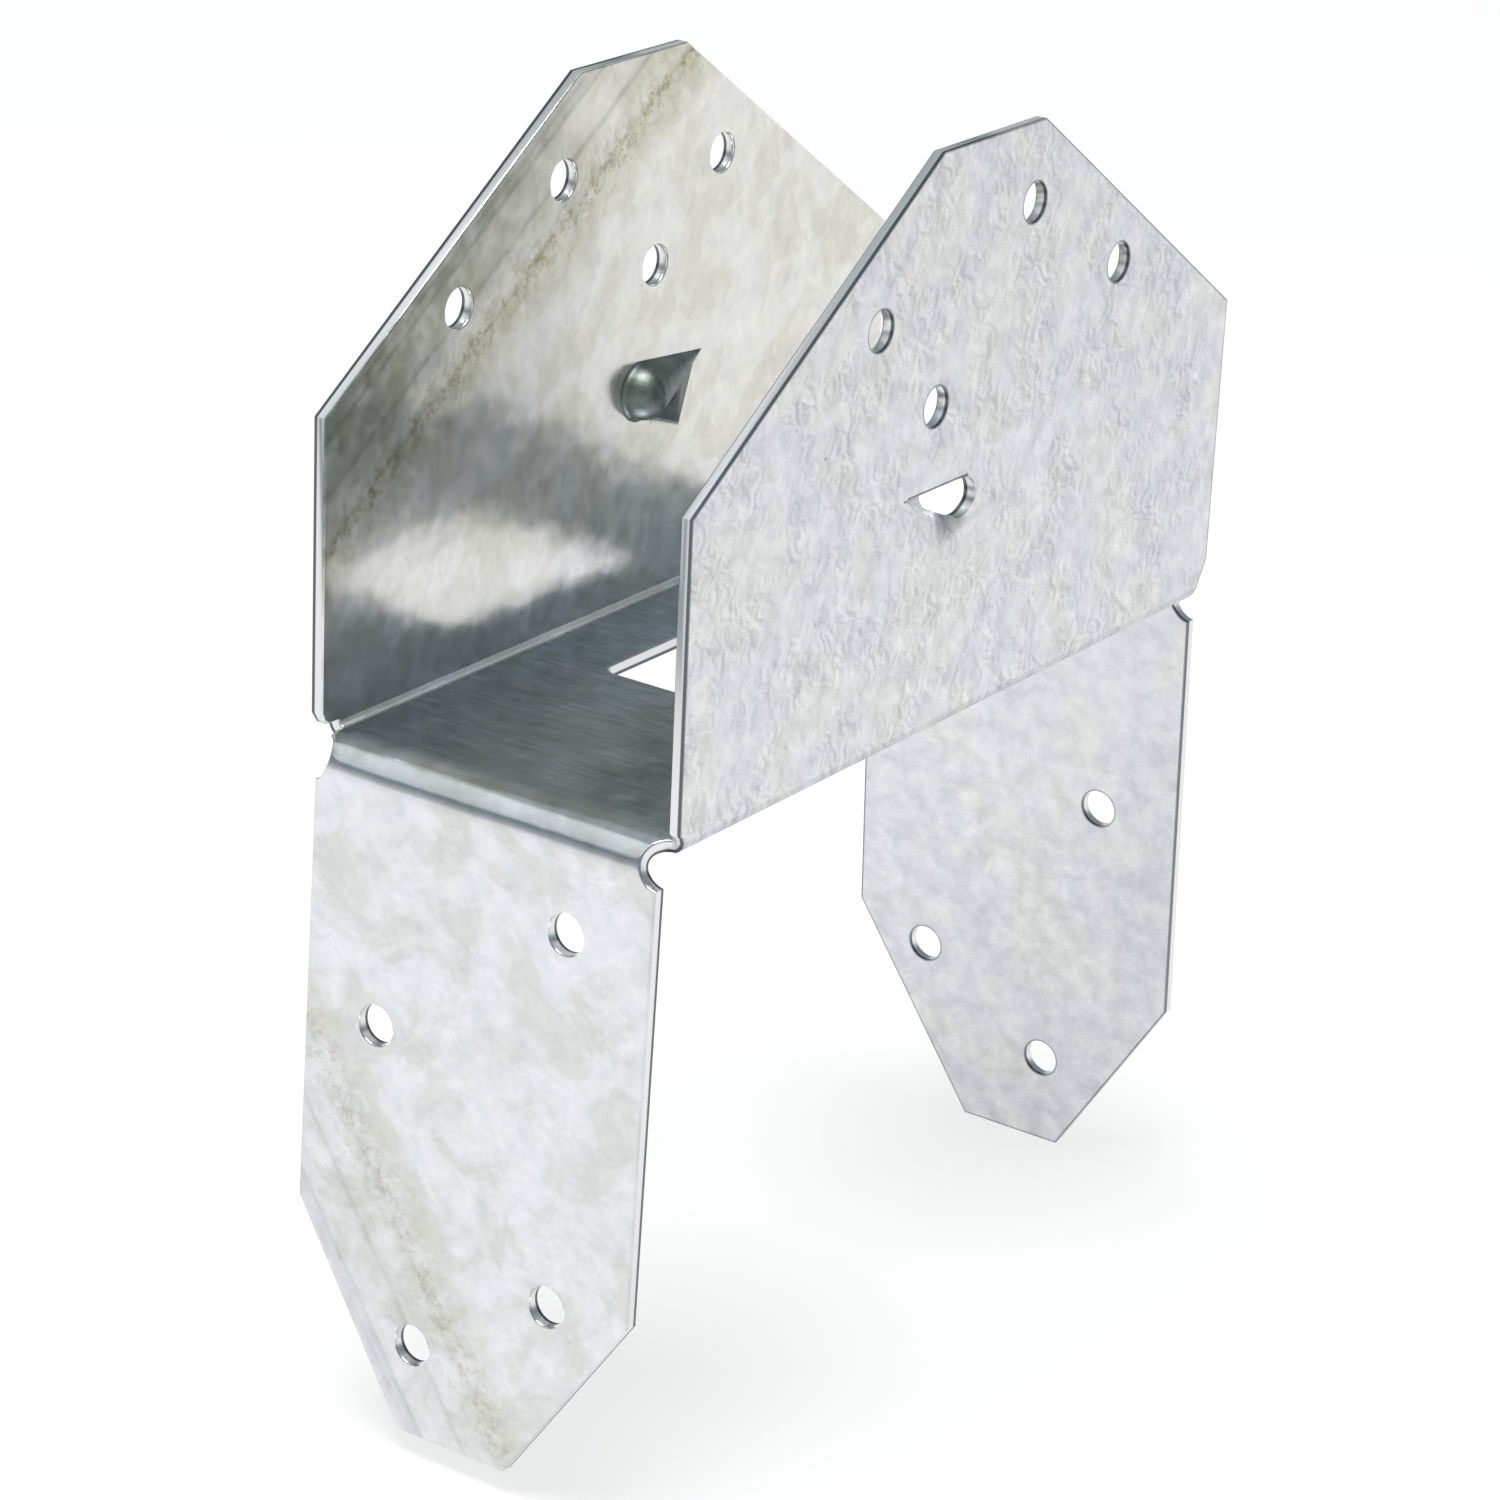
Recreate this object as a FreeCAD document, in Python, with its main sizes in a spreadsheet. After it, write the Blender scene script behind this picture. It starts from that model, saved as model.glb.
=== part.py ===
import FreeCAD, Part
import math
import os
import re
import Sketcher

# Rafter tie: one punched and folded galvanised steel sheet, in millimetres.
# X runs across the seat, Y along it towards the rear plate flange, Z up.
# The origin is the middle of the seat's underside, which lies on the wall plate.

# Driving dimensions: name, value, what it is.
DIMENSIONS = [
    ("sheet", "1.3", "thickness of the galvanised sheet"),
    ("seat_width", "39.7", "clear width between the uprights, for a 38 mm rafter"),
    ("seat_length", "90.5", "clear length between the plate flanges at their fold, for an 89 mm plate"),
    ("rafter_bend", "0.6", "inner radius of the upright folds"),
    ("plate_bend", "2.4", "inner radius of the plate flange folds"),
    ("plate_fold", "87.6", "degrees that the plate flanges are folded; they sprang back short of square"),
    ("upright_height", "57.15", "top of an upright above the seat's underside"),
    ("upright_shoulder", "31.75", "height where an upright's end meets its slope"),
    ("upright_top", "17.0", "width of an upright's flat top"),
    ("plate_width", "39.2", "width of a plate flange"),
    ("front_depth", "65.5", "tip of the front plate flange below the seat's underside"),
    ("front_left_shoulder", "45.1", "depth where the front flange's left side meets its slope"),
    ("front_right_shoulder", "46.1", "the same on its right side"),
    ("front_tip_left", "6.4", "left end of the front flange's flat tip, from the middle"),
    ("front_tip_right", "6.3", "right end of the same tip"),
    ("rear_depth", "67.8", "tip of the rear plate flange below the seat's underside"),
    ("rear_left_shoulder", "45.7", "depth where the rear flange's left side meets its slope"),
    ("rear_right_shoulder", "47.9", "the same on its right side"),
    ("rear_tip_left", "5.0", "left end of the rear flange's flat tip, from the middle"),
    ("rear_tip_right", "6.8", "right end of the same tip"),
    ("cutout_width", "21.0", "width of the seat's cut-out"),
    ("cutout_length", "29.6", "length of the seat's cut-out"),
    ("cutout_corner", "1.6", "corner radius of the seat's cut-out"),
    ("nail_hole", "4.0", "diameter of a nail hole"),
    ("relief", "4.4", "diameter of the round bend relief at each corner of the seat"),
    ("relief_past", "0.9", "how far the reliefs lie past the middle of the plate folds"),
    ("relief_shift", "0.4", "how far the reliefs lie off the rafter folds, towards the far upright"),
    ("scoop_round", "4.0", "diameter of the round end of a nailing scoop"),
    ("near_scoop_run", "10.2", "distance from the point of the near scoop to the centre of its round end"),
    ("near_scoop_mouth", "7.5", "distance from the point of the near scoop to its open mouth"),
    ("near_scoop_slope", "11.5", "degrees that the near scoop falls from its point"),
    ("near_scoop_start", "11.9", "point of the near scoop, from the middle of its upright"),
    ("near_scoop_drop", "32.3", "point of the near scoop below its upright's top"),
    ("far_scoop_run", "9.1", "distance from the point of the far scoop to the centre of its round end"),
    ("far_scoop_slope", "11.4", "degrees that the far scoop falls from its point"),
    ("far_scoop_start", "11.5", "point of the far scoop, from the middle of its upright"),
    ("far_scoop_drop", "32.1", "point of the far scoop below its upright's top"),
]

# Nail holes of each upright: along the seat from its middle, and below the upright's top or its slope.
UPRIGHT_HOLES = {
    "near": [
        ("7.4", "top", "7.8"),
        ("23.4", "slope", "6.6"),
        ("-17.4", "slope", "8.55"),
        ("-7.6", "top", "24.1"),
    ],
    "far": [
        ("15.0", "slope", "7.71"),
        ("-10.7", "slope", "8.48"),
        ("4.4", "top", "21.5"),
        ("-26.2", "slope", "6.97"),
    ],
}

# Nail holes of each plate flange: across it from its middle, and either below the fold or above the tip.
PLATE_HOLES = {
    "front": [
        ("10.1", "below", "9.8"),
        ("-11.2", "below", "25.1"),
        ("10.3", "above", "18.6"),
        ("-5.2", "above", "9.3"),
    ],
    "rear": [
        ("-10.6", "below", "11.6"),
        ("10.1", "below", "26.7"),
        ("-11.0", "above", "19.0"),
        ("4.4", "above", "9.7"),
    ],
}

# Sizes that several features share, worked out from the driving dimensions.
FLAT_X = "(seat_width / 2 - rafter_bend)"
FLAT_Y = "(seat_length / 2 - plate_bend)"
UPRIGHT_FOOT = "(rafter_bend + sheet)"
UPRIGHT_FALL = "((upright_height - upright_shoulder) * 2 / (seat_length - upright_top))"
PLATE_LEAN = "(90 - plate_fold)"
PLATE_SETBACK = f"(plate_bend * (1 - sin{PLATE_LEAN}) / cos{PLATE_LEAN})"
RAFTER_HALF_FOLD = "((rafter_bend + sheet / 2) * pi / 4)"
PLATE_HALF_FOLD = "((plate_bend + sheet / 2) * plate_fold * pi / 360)"
RELIEF_Y = f"({FLAT_Y} + {PLATE_HALF_FOLD} + relief_past)"
RELIEF_X = f"({FLAT_X} + {RAFTER_HALF_FOLD})"
START_RADIUS = 20.0


def make_sheet(doc):
    """Write every driving dimension and hole place to the spreadsheet, one named cell each."""
    sheet = doc.addObject("Spreadsheet::Sheet", "Dimensions")
    rows = list(DIMENSIONS)
    for side, holes in UPRIGHT_HOLES.items():
        for number, (along, edge, drop) in enumerate(holes, 1):
            hole = f"{side}_hole_{number}"
            note = f"nail hole {number} of the {side} upright"
            rows.append((f"{hole}_along", along, f"{note}, along"))
            rows.append((f"{hole}_drop", drop, f"{note}, below its {edge}"))
    for side, holes in PLATE_HOLES.items():
        for number, (across, edge, gap) in enumerate(holes, 1):
            hole = f"{side}_hole_{number}"
            note = f"nail hole {number} of the {side} flange"
            rows.append((f"{hole}_across", across, f"{note}, across"))
            rows.append((f"{hole}_{edge}", gap, f"{note}, {edge} its edge"))
    for row, (name, value, note) in enumerate(rows, 1):
        sheet.set(f"A{row}", note)
        sheet.set(f"B{row}", value)
        sheet.setAlias(f"B{row}", name)
    doc.recompute()
    return [name for name, _, _ in rows]


class Builder:
    """Adds features to one body, with every size bound to the spreadsheet."""

    def __init__(self, body, names):
        self.body = body
        self.names = set(names)

    def cell(self, word):
        """Put the spreadsheet's name before a word that is one of its dimensions."""
        return f"Dimensions.{word}" if word in self.names else word

    def cells(self, expression):
        """Put the spreadsheet's name before each dimension in an expression."""
        return re.sub(r"[a-z_]\w*", lambda word: self.cell(word.group()), expression)

    def sketch(self, name, role, base=("0", "0", "0"), turn="rotationx(0)"):
        """Start a sketch on an origin plane, moved by base and turned within the plane's own axes."""
        plane = next(f for f in self.body.Origin.OriginFeatures if f.Role == role)
        sketch = self.body.newObject("Sketcher::SketchObject", name)
        sketch.AttachmentSupport = [(plane, "")]
        sketch.MapMode = "FlatFace"
        offset = f"placement(vector({'; '.join(base)}); {turn})"
        sketch.setExpression("AttachmentOffset", self.cells(offset))
        return sketch

    def bind(self, sketch, constraint, expression):
        """Add one dimension to a sketch and drive it with an expression."""
        index = sketch.addConstraint(constraint)
        sketch.setExpression(f"Constraints[{index}]", self.cells(expression))

    def place(self, sketch, geometry, point, place):
        """Fix one point of a sketch by its place from the origin, starting from where it was drawn."""
        drawn = sketch.getPoint(geometry, point)
        across = Sketcher.Constraint("DistanceX", -1, 1, geometry, point, drawn.x)
        up = Sketcher.Constraint("DistanceY", -1, 1, geometry, point, drawn.y)
        self.bind(sketch, across, place[0])
        self.bind(sketch, up, place[1])

    def polygon(self, sketch, corners):
        """Draw a closed outline with straight sides through the given corners."""
        count = len(corners)
        spoke = FreeCAD.Vector(START_RADIUS, 0, 0)
        axis = FreeCAD.Vector(0, 0, 1)
        ring = [FreeCAD.Rotation(axis, 360 * index / count).multVec(spoke) for index in range(count)]
        sides = []
        for index, start in enumerate(ring):
            side = Part.LineSegment(start, ring[(index + 1) % count])
            sides.append(sketch.addGeometry(side, False))
        for index, side in enumerate(sides):
            sketch.addConstraint(Sketcher.Constraint("Coincident", side, 2, sides[(index + 1) % count], 1))
        for side, corner in zip(sides, corners):
            self.place(sketch, side, 1, corner)

    def circle(self, sketch, centre, diameter):
        """Draw a circle of the given diameter."""
        ring = Part.Circle(FreeCAD.Vector(0, 0, 0), FreeCAD.Vector(0, 0, 1), START_RADIUS)
        geometry = sketch.addGeometry(ring, False)
        self.place(sketch, geometry, 3, centre)
        self.bind(sketch, Sketcher.Constraint("Diameter", geometry, 2 * START_RADIUS), diameter)

    def half_drop(self, sketch, start, centre, radius, spread):
        """Draw half a teardrop: a slope from its point on the sketch's X axis, an arc, and the axis."""
        ring = Part.Circle(FreeCAD.Vector(START_RADIUS, 0, 0), FreeCAD.Vector(0, 0, 1), 1.0)
        arc = sketch.addGeometry(Part.ArcOfCircle(ring, 0, math.pi / 2), False)
        top = FreeCAD.Vector(START_RADIUS, 1, 0)
        end = FreeCAD.Vector(START_RADIUS + 1, 0, 0)
        point = FreeCAD.Vector(-START_RADIUS, 0, 0)
        slope = sketch.addGeometry(Part.LineSegment(top, point), False)
        axis = sketch.addGeometry(Part.LineSegment(point, end), False)
        for first, second in ((arc, slope), (slope, axis), (axis, arc)):
            sketch.addConstraint(Sketcher.Constraint("Coincident", first, 2, second, 1))
        self.place(sketch, arc, 3, (centre, "0"))
        self.place(sketch, axis, 1, (start, "0"))
        touch = (f"{centre} - ({radius}) * sin({spread})", f"({radius}) * cos({spread})")
        self.place(sketch, arc, 2, touch)
        sketch.addConstraint(Sketcher.Constraint("Horizontal", arc, 3, arc, 1))

    def rounded_rectangle(self, sketch, half_x, half_y, radius):
        """Draw a rectangle about the sketch's origin with a quarter round at each corner."""
        signs = [("", ""), ("-", ""), ("-", "-"), ("", "-")]
        arcs = []
        sides = []
        for quarter in range(4):
            spin = FreeCAD.Rotation(FreeCAD.Vector(0, 0, 1), 90 * quarter)
            centre = spin.multVec(FreeCAD.Vector(START_RADIUS, START_RADIUS, 0))
            ring = Part.Circle(centre, FreeCAD.Vector(0, 0, 1), 1.0)
            start = quarter * math.pi / 2
            arcs.append(sketch.addGeometry(Part.ArcOfCircle(ring, start, start + math.pi / 2), False))
            first = spin.multVec(FreeCAD.Vector(START_RADIUS, START_RADIUS + 1, 0))
            last = spin.multVec(FreeCAD.Vector(-START_RADIUS, START_RADIUS + 1, 0))
            sides.append(sketch.addGeometry(Part.LineSegment(first, last), False))
        for quarter, (arc, side, (sign_x, sign_y)) in enumerate(zip(arcs, sides, signs)):
            sketch.addConstraint(Sketcher.Constraint("Coincident", arc, 2, side, 1))
            sketch.addConstraint(Sketcher.Constraint("Coincident", side, 2, arcs[(quarter + 1) % 4], 1))
            level, upright = ("Horizontal", "Vertical") if quarter % 2 == 0 else ("Vertical", "Horizontal")
            sketch.addConstraint(Sketcher.Constraint(level, arc, 3, arc, 1))
            sketch.addConstraint(Sketcher.Constraint(upright, arc, 3, arc, 2))
            corner = (f"{sign_x}({half_x} - {radius})", f"{sign_y}({half_y} - {radius})")
            self.place(sketch, arc, 3, corner)
            self.bind(sketch, Sketcher.Constraint("Radius", arc, 1.0), radius)

    def pad(self, name, sketch, length):
        """Raise a sketch along its normal."""
        pad = self.body.newObject("PartDesign::Pad", name)
        pad.Profile = sketch
        pad.setExpression("Length", self.cells(length))
        return pad

    def pocket(self, name, sketch, length):
        """Cut a sketch into the sheet, against its normal, and check that metal came away."""
        before = self.volume()
        pocket = self.body.newObject("PartDesign::Pocket", name)
        pocket.Profile = sketch
        pocket.setExpression("Length", self.cells(length))
        if self.volume() >= before:
            raise RuntimeError(f"{name} cut nothing")
        return pocket

    def turn(self, kind, name, sketch, angle, reverse):
        """Turn a sketch about its own X axis, adding metal as a revolution or cutting it as a groove."""
        turned = self.body.newObject(kind, name)
        turned.Profile = sketch
        turned.ReferenceAxis = (sketch, ["H_Axis"])
        turned.setExpression("Angle", self.cells(angle))
        turned.Reversed = reverse
        return turned

    def volume(self):
        """Return the body's volume after a recompute."""
        self.body.Document.recompute()
        return self.body.Shape.Volume


def add_seat(builder):
    """Add the flat part of the seat, then its cut-out."""
    outline = builder.sketch("SeatOutline", "XY_Plane")
    builder.polygon(outline, [
        (f"-{FLAT_X}", f"-{FLAT_Y}"),
        (FLAT_X, f"-{FLAT_Y}"),
        (FLAT_X, FLAT_Y),
        (f"-{FLAT_X}", FLAT_Y),
    ])
    builder.pad("Seat", outline, "sheet")
    cutout = builder.sketch("CutoutOutline", "XY_Plane", base=("0", "0", "sheet"))
    builder.rounded_rectangle(cutout, "cutout_width / 2", "cutout_length / 2", "cutout_corner")
    builder.pocket("Cutout", cutout, "sheet")


def add_upright(builder, side):
    """Add one upright: its fold, its outline, then its nail holes and the bend reliefs at its foot."""
    near = side == "near"
    sign = "" if near else "-"
    edge = builder.sketch(f"{side}FoldEdge", "YZ_Plane", base=("0", UPRIGHT_FOOT, f"{sign}{FLAT_X}"))
    builder.polygon(edge, [
        (f"-{FLAT_Y}", f"-{UPRIGHT_FOOT}"),
        (FLAT_Y, f"-{UPRIGHT_FOOT}"),
        (FLAT_Y, "-rafter_bend"),
        (f"-{FLAT_Y}", "-rafter_bend"),
    ])
    builder.turn("PartDesign::Revolution", f"{side}Fold", edge, "90", near)
    lower_face = "seat_width / 2" if near else "-seat_width / 2 - sheet"
    outline = builder.sketch(f"{side}Outline", "YZ_Plane", base=("0", "0", lower_face))
    builder.polygon(outline, [
        ("-seat_length / 2", UPRIGHT_FOOT),
        ("-seat_length / 2", "upright_shoulder"),
        ("-upright_top / 2", "upright_height"),
        ("upright_top / 2", "upright_height"),
        ("seat_length / 2", "upright_shoulder"),
        ("seat_length / 2", UPRIGHT_FOOT),
    ])
    builder.pad(f"{side}Upright", outline, "sheet")
    holes = builder.sketch(f"{side}HolePlaces", "YZ_Plane", base=("0", "0", f"{lower_face} + sheet"))
    for number, (_, edge, _) in enumerate(UPRIGHT_HOLES[side], 1):
        along = f"{side}_hole_{number}_along"
        past_top = f"(abs({along}) - upright_top / 2)" if edge == "slope" else "0"
        level = f"upright_height - {past_top} * {UPRIGHT_FALL} - {side}_hole_{number}_drop"
        builder.circle(holes, (along, level), "nail_hole")
    off_fold = "- relief_shift" if near else "+ relief_shift"
    relief_level = f"{UPRIGHT_FOOT} - {RAFTER_HALF_FOLD} {off_fold}"
    for end in ("-", ""):
        builder.circle(holes, (f"{end}{RELIEF_Y}", relief_level), "relief")
    builder.pocket(f"{side}Holes", holes, "sheet")


def add_plate_flange(builder, side):
    """Add one plate flange: its fold, its outline, its nail holes, and the bend reliefs in its fold."""
    front = side == "front"
    sign = "" if front else "-"
    edge = builder.sketch(f"{side}FoldEdge", "XZ_Plane", base=("0", "-plate_bend", f"{sign}{FLAT_Y}"))
    builder.polygon(edge, [
        ("-plate_width / 2", "plate_bend"),
        ("plate_width / 2", "plate_bend"),
        ("plate_width / 2", "plate_bend + sheet"),
        ("-plate_width / 2", "plate_bend + sheet"),
    ])
    builder.turn("PartDesign::Revolution", f"{side}Fold", edge, "plate_fold", not front)

    # A sketch on the flange has its origin level with the seat's underside, and is drawn downwards.
    # The front sketch's normal points out of the tie and the rear one's into it.
    turn = f"rotationx({sign}(plate_fold - 90))"
    inner_reach = f"{FLAT_Y} + {PLATE_SETBACK}"
    inner = ("0", "0", f"{sign}({inner_reach})")
    outer = ("0", f"sheet * sin{PLATE_LEAN}", f"{sign}({inner_reach} + sheet * cos{PLATE_LEAN})")
    outline = builder.sketch(f"{side}Outline", "XZ_Plane", inner if front else outer, turn)
    builder.polygon(outline, [
        ("-plate_width / 2", f"-{PLATE_SETBACK}"),
        ("-plate_width / 2", f"-{side}_left_shoulder"),
        (f"-{side}_tip_left", f"-{side}_depth"),
        (f"{side}_tip_right", f"-{side}_depth"),
        ("plate_width / 2", f"-{side}_right_shoulder"),
        ("plate_width / 2", f"-{PLATE_SETBACK}"),
    ])
    builder.pad(f"{side}Flange", outline, "sheet")
    holes = builder.sketch(f"{side}HolePlaces", "XZ_Plane", outer if front else inner, turn)
    for number, (_, measured_from, _) in enumerate(PLATE_HOLES[side], 1):
        gap = f"{side}_hole_{number}_{measured_from}"
        depth = f"-{gap}" if measured_from == "below" else f"{gap} - {side}_depth"
        builder.circle(holes, (f"{side}_hole_{number}_across", depth), "nail_hole")
    builder.pocket(f"{side}Holes", holes, "sheet")

    # The reliefs are cut square to the fold, from outside it at the front and inside it at the rear.
    half_turn = "(plate_fold / 2 + relief_past / (plate_bend + sheet / 2) * 180 / pi)"
    height = "plate_bend + sheet * 2" if front else "0"
    middle = (
        "0",
        f"({height}) * cos{half_turn} - plate_bend",
        f"{sign}({FLAT_Y} + ({height}) * sin{half_turn})",
    )
    square = f"rotationx({sign}({half_turn} - 90))"
    reliefs = builder.sketch(f"{side}ReliefPlaces", "XZ_Plane", middle, square)
    for end in ("-", ""):
        builder.circle(reliefs, (f"{end}{RELIEF_X} - relief_shift", "0"), "relief")
    builder.pocket(f"{side}Reliefs", reliefs, "plate_bend + sheet * 2")


def add_scoop(builder, side):
    """Press a nailing scoop into an upright: a hollow half cone with its axis in the inner face.

    The near scoop is broken through at its wide end. The far one points the other way and stayed closed.
    """
    near = side == "near"
    inner_face = "seat_width / 2" if near else "-seat_width / 2"
    upper_face = f"{inner_face} + sheet" if near else inner_face
    sign = "-" if near else ""
    turn = f"rotationz(-{side}_scoop_slope)" if near else f"rotationz(180 + {side}_scoop_slope)"
    run = f"{side}_scoop_run"
    spread = f"asin(scoop_round / 2 / {run})"

    def sketch(name, face):
        """Start a sketch on a face of the upright, its X axis along the scoop from its point."""
        base = (f"{sign}{side}_scoop_start", f"upright_height - {side}_scoop_drop", face)
        return builder.sketch(f"{side}{name}", "YZ_Plane", base, turn)

    widest = f"({run} * cos({spread}) ^ 2)"
    wedge = sketch("ScoopWedge", upper_face)
    builder.polygon(wedge, [
        ("0", "0"),
        (widest, f"-{widest} * tan({spread})"),
        (widest, f"{widest} * tan({spread})"),
    ])
    builder.pocket(f"{side}ScoopOpening", wedge, "sheet")
    ring = sketch("ScoopRing", upper_face)
    builder.circle(ring, (run, "0"), "scoop_round")
    builder.pocket(f"{side}ScoopRoundEnd", ring, "sheet")

    # The wall starts a sheet's thickness behind the point, and is as thick as the sheet at the wide end.
    wall = sketch("ScoopWall", inner_face)
    core = sketch("ScoopCore", inner_face)
    outer_spread = f"asin((scoop_round / 2 + sheet) / ({run} + sheet))"
    if near:
        mouth = f"{side}_scoop_mouth"
        past_mouth = f"({mouth} + sheet)"
        wall_height = f"{past_mouth} * tan({outer_spread})"
        core_height = f"{past_mouth} * tan({spread})"
        builder.polygon(wall, [("-sheet", "0"), (mouth, "0"), (mouth, wall_height)])
        builder.polygon(core, [("0", "0"), (past_mouth, "0"), (past_mouth, core_height)])
    else:
        builder.half_drop(wall, "-sheet", run, "scoop_round / 2 + sheet", outer_spread)
        builder.half_drop(core, "0", run, "scoop_round / 2", spread)
    builder.turn("PartDesign::Revolution", f"{side}Scoop", wall, "180", near)
    builder.turn("PartDesign::Groove", f"{side}ScoopHollow", core, "180", near)


def check(doc, body):
    """Stop if any object failed or the finished sheet is not one valid solid."""
    doc.recompute()
    failed = [obj.Name for obj in doc.Objects if "Invalid" in obj.State or "Error" in obj.State]
    if failed:
        raise RuntimeError(f"failed objects: {failed}")
    if body.Shape.isNull() or not body.Shape.isValid():
        raise RuntimeError("the sheet is not a valid shape")
    if len(body.Shape.Solids) != 1:
        raise RuntimeError(f"the sheet came out as {len(body.Shape.Solids)} solids")


def main():
    """Build the tie and write its one solid."""
    doc = FreeCAD.newDocument("RafterTie")
    names = make_sheet(doc)
    body = doc.addObject("PartDesign::Body", "RafterTie")
    body.Label = "rafter_tie"
    builder = Builder(body, names)
    add_seat(builder)
    for side in ("near", "far"):
        add_upright(builder, side)
    for side in ("front", "rear"):
        add_plate_flange(builder, side)
    for side in ("near", "far"):
        add_scoop(builder, side)
    check(doc, body)
    os.makedirs("parts", exist_ok=True)
    body.Shape.exportStep(os.path.join("parts", f"{body.Label}.step"))
    print(f"{body.Label}: volume {body.Shape.Volume:.1f}, {body.Shape.BoundBox}")


main()
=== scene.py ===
"""Looks of a galvanised rafter tie: one punched steel blank, folded up and down, in the part's own frame."""

import logging
import math
from collections.abc import Callable, Iterable, Sequence
from dataclasses import dataclass
from enum import Enum
from functools import partial

import bmesh
import bpy
from bmesh.types import BMEdge, BMesh, BMFace, BMVert
from bpy.types import Material, Node, NodeSocket, NodeTree, Object, World
from mathutils import Euler, Matrix, Vector


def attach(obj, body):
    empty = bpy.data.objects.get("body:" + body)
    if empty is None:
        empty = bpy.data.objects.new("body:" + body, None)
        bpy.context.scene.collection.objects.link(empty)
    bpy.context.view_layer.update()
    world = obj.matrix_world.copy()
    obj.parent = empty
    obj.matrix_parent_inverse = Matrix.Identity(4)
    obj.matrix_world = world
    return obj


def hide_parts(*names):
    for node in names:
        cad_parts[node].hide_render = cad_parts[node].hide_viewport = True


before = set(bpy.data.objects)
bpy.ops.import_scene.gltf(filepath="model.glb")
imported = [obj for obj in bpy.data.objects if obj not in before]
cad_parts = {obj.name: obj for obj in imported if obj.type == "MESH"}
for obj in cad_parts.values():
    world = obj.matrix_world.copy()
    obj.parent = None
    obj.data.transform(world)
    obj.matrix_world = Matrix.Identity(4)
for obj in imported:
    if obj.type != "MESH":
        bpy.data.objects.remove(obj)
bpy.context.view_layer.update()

log = logging.getLogger("rafter_tie")

MM = 0.001
WELD = 1e-4  # millimetres within which two points of the blank are one
SLACK = 0.01  # millimetres that a place may lie past a line and still count as on it
UV_SPAN = 400.0  # millimetres of blank to one unit of the UV map
UV_MIDDLE = (0.22, 0.4)  # the blank's middle in the UV map
UPPER_SHIFT = 0.5  # the sheet's upper side has its own half of the UV map
OVER = {"data_type": "RGBA", "blend_type": "MULTIPLY"}  # how one colour is laid over another
SOFTLY = {"interpolation_type": "SMOOTHSTEP"}  # how a share grows from one place to another
TIMES = {"operation": "MULTIPLY"}


class Side(Enum):
    """The two uprights, by the sign of their X."""

    NEAR = 1
    FAR = -1


class End(Enum):
    """The two plate flanges, by the sign of their Y."""

    FRONT = -1
    REAR = 1


class Skin(Enum):
    """What a face of the sheet shows, by its material slot."""

    UNDER = 0
    UPPER = 1
    CUT = 2
    # stretched zinc of the scoops, their lips and flanks: rougher, with darker tones that are painted shade
    PRESSED_SHADED = 3


def linear(code: str) -> tuple[float, float, float, float]:
    """Turn an sRGB hex colour to linear light.

    Args:
        code: six hex digits, with or without a leading hash.

    Returns:
        the linear colour, with full alpha.
    """
    digits = code.lstrip("#")
    parts = [int(digits[i : i + 2], 16) / 255 for i in (0, 2, 4)]
    lit = [p / 12.92 if p <= 0.04045 else ((p + 0.055) / 1.055) ** 2.4 for p in parts]
    return (*lit, 1.0)


def clear_tree(owner: Material | World) -> NodeTree:
    """Give a material or a world an empty node tree.

    Args:
        owner: the material or the world.

    Returns:
        its node tree.
    """
    owner.use_nodes = True
    owner.node_tree.nodes.clear()
    return owner.node_tree


def add_node(tree: NodeTree, kind: str, inputs: dict | Sequence = (), **settings) -> Node:
    """Add a node, with its settings made and its inputs set or linked.

    Args:
        tree: the material's or world's node tree.
        kind: the node's type name, after "ShaderNode".
        inputs: values to set, or sockets or nodes to link, by name or number, or else in order.
        **settings: properties of the node itself.

    Returns:
        the new node.
    """
    made = tree.nodes.new("ShaderNode" + kind)
    for name, value in settings.items():
        setattr(made, name, value)
    for name, value in inputs.items() if isinstance(inputs, dict) else enumerate(inputs):
        if isinstance(value, Node):
            value = next(socket for socket in value.outputs if socket.enabled)
        if isinstance(value, NodeSocket):
            tree.links.new(value, made.inputs[name])
        else:
            made.inputs[name].default_value = value
    return made


def set_ramp(ramp: Node, stops: Iterable[tuple[float, str]]) -> Node:
    """Give a colour ramp its stops.

    Args:
        ramp: the colour ramp node.
        stops: a place from 0 to 1 and an sRGB hex colour for each stop, in order.

    Returns:
        the same node.
    """
    stops = list(stops)
    elements = ramp.color_ramp.elements
    while len(elements) < len(stops):
        elements.new(1.0)
    for element, (place, code) in zip(elements, stops):
        element.position = place
        element.color = linear(code)
    return ramp


@dataclass(frozen=True)
class Fold:
    """A straight fold of the sheet, in millimetres and degrees."""

    start: float
    radius: float
    degrees: float
    sheet: float

    @property
    def arc(self) -> float:
        """Length of the fold along the middle of the sheet."""
        return (self.radius + self.sheet / 2) * math.radians(self.degrees)

    def turn(self, along: float, across: float) -> tuple[float, float]:
        """Fold one point of the blank.

        Args:
            along: how far the point lies past the start of the fold, in the blank.
            across: how far it lies from the fold's inner face.

        Returns:
            how far it lies past the start after folding, and how far to the side that the fold turns to.
        """
        if along <= 0:
            return along, -across
        angle = math.radians(self.degrees) * min(along / self.arc, 1.0)
        past = max(along - self.arc, 0.0)
        reach = self.radius + across
        out = reach * math.sin(angle) + past * math.cos(angle)
        rise = self.radius - reach * math.cos(angle) + past * math.sin(angle)
        return out, rise


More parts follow.
